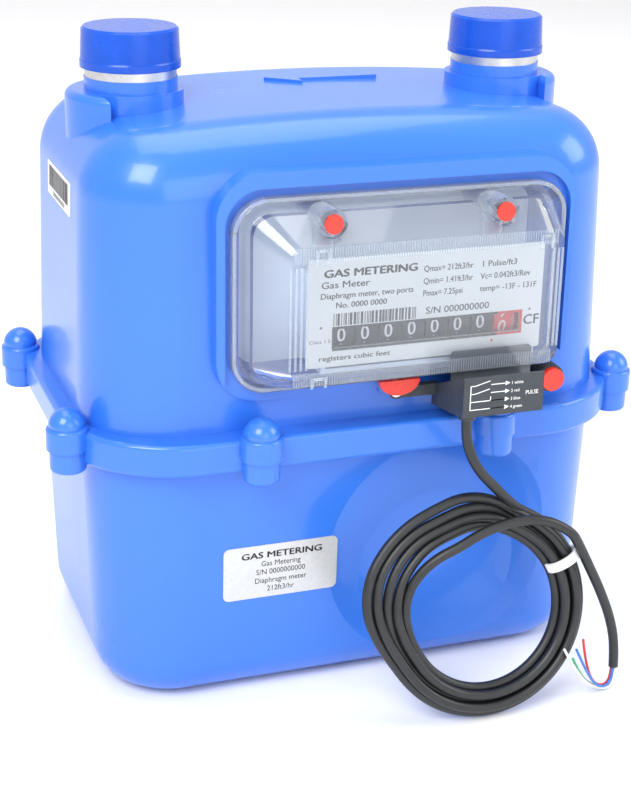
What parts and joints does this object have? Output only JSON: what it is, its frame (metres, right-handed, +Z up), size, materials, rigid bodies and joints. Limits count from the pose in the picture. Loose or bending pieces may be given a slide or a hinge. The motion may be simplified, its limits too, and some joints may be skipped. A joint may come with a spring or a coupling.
{
  "type": "gas meter",
  "caption": "Domestic diaphragm gas meter in a two-part cast case with twin top ports, push-on dust caps, windowed drum index and a clip-on pulse sensor with coiled cable.",
  "frame": {"origin": "middle of the flat underside of the lower case, half way between the two port axes", "axes": "+X from the outlet port to the inlet port, +Y from the index towards the back, +Z up"},
  "size_m": [0.2098, 0.1743, 0.2189],
  "materials": {
    "case_paint": "smooth gloss enamel",
    "gasket_rubber": "matt",
    "screw_steel": "zinc plated, painted over",
    "port_steel": "turned, bare",
    "cap_plastic": "moulded, glossy",
    "label_film": "printed silver and white film",
    "unit_plastic": "moulded, satin",
    "diaphragm_rubber": "coated fabric",
    "disc_metal": "pressed, bare",
    "rod_steel": "drawn",
    "gear_plastic": "moulded acetal",
    "valve_plastic": "lapped phenolic",
    "index_plastic": "moulded, satin",
    "drum_black": "black with white figures",
    "drum_red": "red with white figures",
    "dial_white": "printed white",
    "window_clear": "clear polycarbonate",
    "seal_red": "moulded, glossy",
    "sensor_grey": "moulded, fine texture",
    "bracket_grey": "moulded, satin",
    "cable_black": "satin sheath",
    "tie_white": "moulded, satin",
    "conductor_plastic": "coloured insulation"
  },
  "bodies": {
    "case": {"upper_case": "case_paint", "lower_case": "case_paint", "case_gasket": "gasket_rubber", "flange_screws": "screw_steel", "outlet_spud": "port_steel", "inlet_spud": "port_steel", "labels": "label_film", "measuring_body": "unit_plastic", "front_chamber_cover": "unit_plastic", "rear_chamber_cover": "unit_plastic", "front_diaphragm": "diaphragm_rubber", "rear_diaphragm": "diaphragm_rubber", "valve_table": "unit_plastic", "rod_bushes": "gear_plastic", "outlet_tube": "unit_plastic", "drive_bracket": "gear_plastic", "gland_bush": "gear_plastic", "index_base": "index_plastic", "index_frame": "index_plastic", "drum_shaft": "rod_steel", "pinion_shaft": "rod_steel", "transfer_pinions": "gear_plastic", "dial_plate": "dial_white", "index_window": "window_clear", "window_screws": "rod_steel", "seal_plugs": "seal_red", "sensor_housing": "sensor_grey", "sensor_bracket": "bracket_grey", "sensor_screws": "rod_steel", "cable_gland": "sensor_grey", "cable_lead": "cable_black", "cable_coil": "cable_black", "cable_tail": "cable_black", "cable_tie": "tie_white", "conductors": "conductor_plastic"},
    "outlet_cap_body": {"outlet_cap": "cap_plastic"},
    "inlet_cap_body": {"inlet_cap": "cap_plastic"},
    "crank_body": {"crank": "gear_plastic", "worm_shaft": "gear_plastic"},
    "index_drive": {"index_drive_shaft": "rod_steel", "worm_wheel": "gear_plastic", "crown_gear": "gear_plastic"},
    "front_flag": {"front_flag_rod": "rod_steel", "front_top_arm": "rod_steel"},
    "rear_flag": {"rear_flag_rod": "rod_steel", "rear_top_arm": "rod_steel"},
    "front_disc_body": {"front_disc": "disc_metal"},
    "rear_disc_body": {"rear_disc": "disc_metal"},
    "front_link_body": {"front_link": "gear_plastic"},
    "rear_link_body": {"rear_link": "gear_plastic"},
    "front_valve": {"front_slide_valve": "valve_plastic"},
    "rear_valve": {"rear_slide_valve": "valve_plastic"},
    "drum_1_body": {"drum_1": "drum_black"},
    "drum_2_body": {"drum_2": "drum_black"},
    "drum_3_body": {"drum_3": "drum_black"},
    "drum_4_body": {"drum_4": "drum_black"},
    "drum_5_body": {"drum_5": "drum_black"},
    "drum_6_body": {"drum_6": "drum_black"},
    "drum_7_body": {"drum_7": "drum_black"},
    "drum_8_body": {"drum_8": "drum_red"}
  },
  "joints": [
    {"name": "outlet_cap_lift", "type": "slide", "parent": "case", "child": "outlet_cap_body", "axis": [0, 0, 1], "range_m": [0, 0.035]},
    {"name": "inlet_cap_lift", "type": "slide", "parent": "case", "child": "inlet_cap_body", "axis": [0, 0, 1], "range_m": [0, 0.035]},
    {"name": "crank_turn", "type": "hinge", "parent": "case", "child": "crank_body", "pos_m": [0.02645, 0, 0.1], "axis": [0, 0, 1], "continuous": true},
    {"name": "index_drive_turn", "type": "hinge", "parent": "case", "child": "index_drive", "pos_m": [0.0379, 0, 0.1305], "axis": [0, 1, 0], "continuous": true},
    {"name": "drum_1_turn", "type": "hinge", "parent": "case", "child": "drum_1_body", "pos_m": [0.0142, -0.058, 0.1305], "axis": [1, 0, 0], "continuous": true},
    {"name": "drum_2_turn", "type": "hinge", "parent": "case", "child": "drum_2_body", "pos_m": [0.0142, -0.058, 0.1305], "axis": [1, 0, 0], "continuous": true},
    {"name": "drum_3_turn", "type": "hinge", "parent": "case", "child": "drum_3_body", "pos_m": [0.0142, -0.058, 0.1305], "axis": [1, 0, 0], "continuous": true},
    {"name": "drum_4_turn", "type": "hinge", "parent": "case", "child": "drum_4_body", "pos_m": [0.0142, -0.058, 0.1305], "axis": [1, 0, 0], "continuous": true},
    {"name": "drum_5_turn", "type": "hinge", "parent": "case", "child": "drum_5_body", "pos_m": [0.0142, -0.058, 0.1305], "axis": [1, 0, 0], "continuous": true},
    {"name": "drum_6_turn", "type": "hinge", "parent": "case", "child": "drum_6_body", "pos_m": [0.0142, -0.058, 0.1305], "axis": [1, 0, 0], "continuous": true},
    {"name": "drum_7_turn", "type": "hinge", "parent": "case", "child": "drum_7_body", "pos_m": [0.0142, -0.058, 0.1305], "axis": [1, 0, 0], "continuous": true},
    {"name": "drum_8_turn", "type": "hinge", "parent": "case", "child": "drum_8_body", "pos_m": [0.0142, -0.058, 0.1305], "axis": [1, 0, 0], "continuous": true},
    {"name": "front_flag_swing", "type": "hinge", "parent": "case", "child": "front_flag", "pos_m": [-0.019, -0.008, 0.06], "axis": [0, 0, 1], "range_deg": [-10.5, 10.5]},
    {"name": "front_disc_slide", "type": "slide", "parent": "case", "child": "front_disc_body", "axis": [0, 1, 0], "range_m": [-0.0082, 0.0082]},
    {"name": "front_link_turn", "type": "hinge", "parent": "front_flag", "child": "front_link_body", "pos_m": [-0.019, -0.024, 0.104], "axis": [0, 0, 1], "range_deg": [-10.6, 10.6]},
    {"name": "front_valve_slide", "type": "slide", "parent": "case", "child": "front_valve", "axis": [1, 0, 0], "range_m": [-0.0031, 0.0031]},
    {"name": "rear_flag_swing", "type": "hinge", "parent": "case", "child": "rear_flag", "pos_m": [-0.019, 0.008, 0.06], "axis": [0, 0, 1], "range_deg": [-10.5, 10.5]},
    {"name": "rear_disc_slide", "type": "slide", "parent": "case", "child": "rear_disc_body", "axis": [0, 1, 0], "range_m": [-0.0082, 0.0082]},
    {"name": "rear_link_turn", "type": "hinge", "parent": "rear_flag", "child": "rear_link_body", "pos_m": [-0.019, 0.024, 0.104], "axis": [0, 0, 1], "range_deg": [-10.6, 10.6]},
    {"name": "rear_valve_slide", "type": "slide", "parent": "case", "child": "rear_valve", "axis": [1, 0, 0], "range_m": [-0.0031, 0.0031]}
  ],
  "couplings": [
    {"joint": "index_drive_turn", "follows": "crank_turn", "ratio": -0.03125},
    {"joint": "drum_1_turn", "follows": "crank_turn", "ratio": 0.0000000032895},
    {"joint": "drum_2_turn", "follows": "crank_turn", "ratio": 0.000000032895},
    {"joint": "drum_3_turn", "follows": "crank_turn", "ratio": 0.00000032895},
    {"joint": "drum_4_turn", "follows": "crank_turn", "ratio": 0.0000032895},
    {"joint": "drum_5_turn", "follows": "crank_turn", "ratio": 0.000032895},
    {"joint": "drum_6_turn", "follows": "crank_turn", "ratio": 0.00032895},
    {"joint": "drum_7_turn", "follows": "crank_turn", "ratio": 0.0032895},
    {"joint": "drum_8_turn", "follows": "crank_turn", "ratio": 0.032895},
    {"joint": "front_disc_slide", "follows": "front_flag_swing", "m_per_rad": 0.043},
    {"joint": "front_link_turn", "follows": "front_flag_swing", "ratio": -1},
    {"joint": "front_valve_slide", "follows": "rear_flag_swing", "m_per_rad": 0.016},
    {"joint": "rear_disc_slide", "follows": "rear_flag_swing", "m_per_rad": 0.043},
    {"joint": "rear_link_turn", "follows": "rear_flag_swing", "ratio": -1},
    {"joint": "rear_valve_slide", "follows": "front_flag_swing", "m_per_rad": 0.016}
  ]
}
